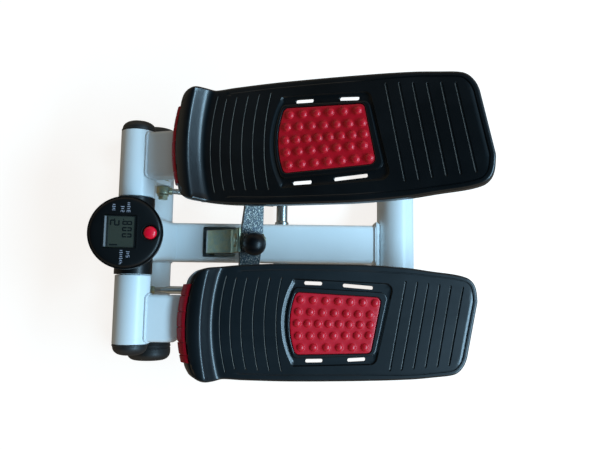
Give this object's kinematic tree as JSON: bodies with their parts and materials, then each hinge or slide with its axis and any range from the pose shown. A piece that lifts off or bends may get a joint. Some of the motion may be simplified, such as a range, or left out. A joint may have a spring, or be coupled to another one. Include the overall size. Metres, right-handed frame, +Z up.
{
  "type": "mini stepper",
  "caption": "Low floor stepper with two alternating pedals on a shared front axle, linked by a central rocker, damped by hydraulic cylinders, with a round step counter.",
  "frame": {"origin": "on the floor, under the middle of the bounding box", "axes": "+Z up, +X towards the user's left pedal, +Y towards the heels; the counter and the axle are at the -Y end"},
  "size_m": [0.2908, 0.3948, 0.2234],
  "materials": {
    "white_paint": "glossy cool white powder coat",
    "zinc_plate": "yellow passivated zinc plate",
    "bright_steel": "bright turned steel",
    "hammer_grey": "dark grey hammertone paint",
    "black_plastic": "satin moulded black plastic",
    "black_gloss": "polished black phenolic ball",
    "black_paint": "gloss black enamel",
    "black_rubber": "matt black rubber",
    "red_rubber": "soft red rubber",
    "red_reflector": "clear red reflector plastic",
    "red_button": "shiny red plastic",
    "lcd_grey": "grey-green liquid crystal panel",
    "clear_lens": "clear lens",
    "circuit_green": "green circuit board",
    "natural_nylon": "natural nylon"
  },
  "bodies": {
    "frame": {"front_floor_tube": "white_paint", "rear_floor_tube": "white_paint", "center_beam": "white_paint", "front_neck": "white_paint", "hub_tube": "white_paint", "axle_shaft": "bright_steel", "axle_end_screw_left": "zinc_plate", "axle_end_screw_right": "zinc_plate", "front_foot_cap_left": "black_rubber", "front_foot_cap_right": "black_rubber", "rear_foot_cap_left": "black_rubber", "rear_foot_cap_right": "black_rubber", "rocker_bracket": "zinc_plate", "rocker_pivot_bolt": "bright_steel", "damper_rear_pin_left": "bright_steel", "damper_rear_pin_right": "bright_steel", "stop_bumper_left": "black_rubber", "stop_bumper_right": "black_rubber", "console_saddle": "black_plastic", "console_housing": "black_plastic", "console_face": "black_plastic", "console_window": "clear_lens", "lcd_panel": "lcd_grey", "circuit_board": "circuit_green", "battery_cell": "bright_steel", "battery_cover": "black_plastic"},
    "left_pedal": {"pedal_sleeve_left": "white_paint", "sleeve_bush_left": "natural_nylon", "sleeve_end_cap_left": "black_rubber", "pedal_arm_left": "white_paint", "footplate_bolt_front_left": "zinc_plate", "footplate_bolt_rear_left": "zinc_plate", "roller_shoe_left": "white_paint", "damper_front_bolt_left": "zinc_plate", "footplate_left": "black_plastic", "foot_pad_left": "red_rubber", "toe_reflector_left": "red_reflector"},
    "right_pedal": {"pedal_sleeve_right": "white_paint", "sleeve_bush_right": "natural_nylon", "sleeve_end_cap_right": "black_rubber", "pedal_arm_right": "white_paint", "footplate_bolt_front_right": "zinc_plate", "footplate_bolt_rear_right": "zinc_plate", "roller_shoe_right": "white_paint", "damper_front_bolt_right": "zinc_plate", "footplate_right": "black_plastic", "foot_pad_right": "red_rubber", "toe_reflector_right": "red_reflector"},
    "left_damper_rod": {"damper_rod_left": "bright_steel"},
    "left_damper_cylinder": {"damper_cylinder_left": "black_paint"},
    "right_damper_rod": {"damper_rod_right": "bright_steel"},
    "right_damper_cylinder": {"damper_cylinder_right": "black_paint"},
    "rocker": {"rocker_bar": "hammer_grey", "rocker_bush": "natural_nylon", "roller_pin_left": "bright_steel", "roller_pin_right": "bright_steel"},
    "left_roller": {"roller_left": "natural_nylon"},
    "right_roller": {"roller_right": "natural_nylon"},
    "knob": {"height_knob": "black_gloss"},
    "button": {"mode_button": "red_button"}
  },
  "joints": [
    {"name": "left_pedal_hinge", "type": "hinge", "parent": "frame", "child": "left_pedal", "pos_m": [0, -0.1624, 0.103], "axis": [1, 0, 0], "range_deg": [0, 21.77]},
    {"name": "right_pedal_hinge", "type": "hinge", "parent": "frame", "child": "right_pedal", "pos_m": [0, -0.1624, 0.103], "axis": [1, 0, 0], "range_deg": [-21.77, 0]},
    {"name": "rocker_hinge", "type": "hinge", "parent": "frame", "child": "rocker", "pos_m": [0, -0.0444, 0.067], "axis": [0, -0.9511, 0.309], "range_deg": [0, 32.61]},
    {"name": "left_roller_spin", "type": "hinge", "parent": "rocker", "child": "left_roller", "pos_m": [0.08158, -0.05178, 0.04431], "axis": [0, -0.9511, 0.309], "continuous": true},
    {"name": "right_roller_spin", "type": "hinge", "parent": "rocker", "child": "right_roller", "pos_m": [-0.08158, -0.03703, 0.08969], "axis": [0, -0.9511, 0.309], "continuous": true},
    {"name": "knob_turn", "type": "hinge", "parent": "rocker", "child": "knob", "pos_m": [0.00491, -0.03921, 0.08297], "axis": [0.2807, 0.2966, 0.9128], "continuous": true},
    {"name": "left_damper_swing", "type": "hinge", "parent": "frame", "child": "left_damper_cylinder", "pos_m": [0.055, -0.0124, 0.016], "axis": [1, 0, 0], "range_deg": [-3.16, 0]},
    {"name": "left_damper_slide", "type": "slide", "parent": "left_damper_cylinder", "child": "left_damper_rod", "axis": [0, 0.9606, -0.278], "range_m": [0, 0.01454]},
    {"name": "right_damper_swing", "type": "hinge", "parent": "frame", "child": "right_damper_cylinder", "pos_m": [-0.055, -0.0124, 0.016], "axis": [1, 0, 0], "range_deg": [0, 3.66]},
    {"name": "right_damper_slide", "type": "slide", "parent": "right_damper_cylinder", "child": "right_damper_rod", "axis": [0, 0.9423, -0.3347], "range_m": [-0.01397, 0]},
    {"name": "mode_button_press", "type": "slide", "parent": "frame", "child": "button", "axis": [0, -0.1392, -0.9903], "range_m": [0, 0.0012], "stiffness_N_per_m": 600}
  ],
  "couplings": [
    {"joint": "right_pedal_hinge", "follows": "left_pedal_hinge", "ratio": -1},
    {"joint": "rocker_hinge", "follows": "left_pedal_hinge", "ratio": 1.4975},
    {"joint": "left_damper_swing", "follows": "left_pedal_hinge", "ratio": -0.14527},
    {"joint": "left_damper_slide", "follows": "left_pedal_hinge", "m_per_rad": 0.038272},
    {"joint": "right_damper_swing", "follows": "left_pedal_hinge", "ratio": 0.16804},
    {"joint": "right_damper_slide", "follows": "left_pedal_hinge", "m_per_rad": -0.036771}
  ]
}
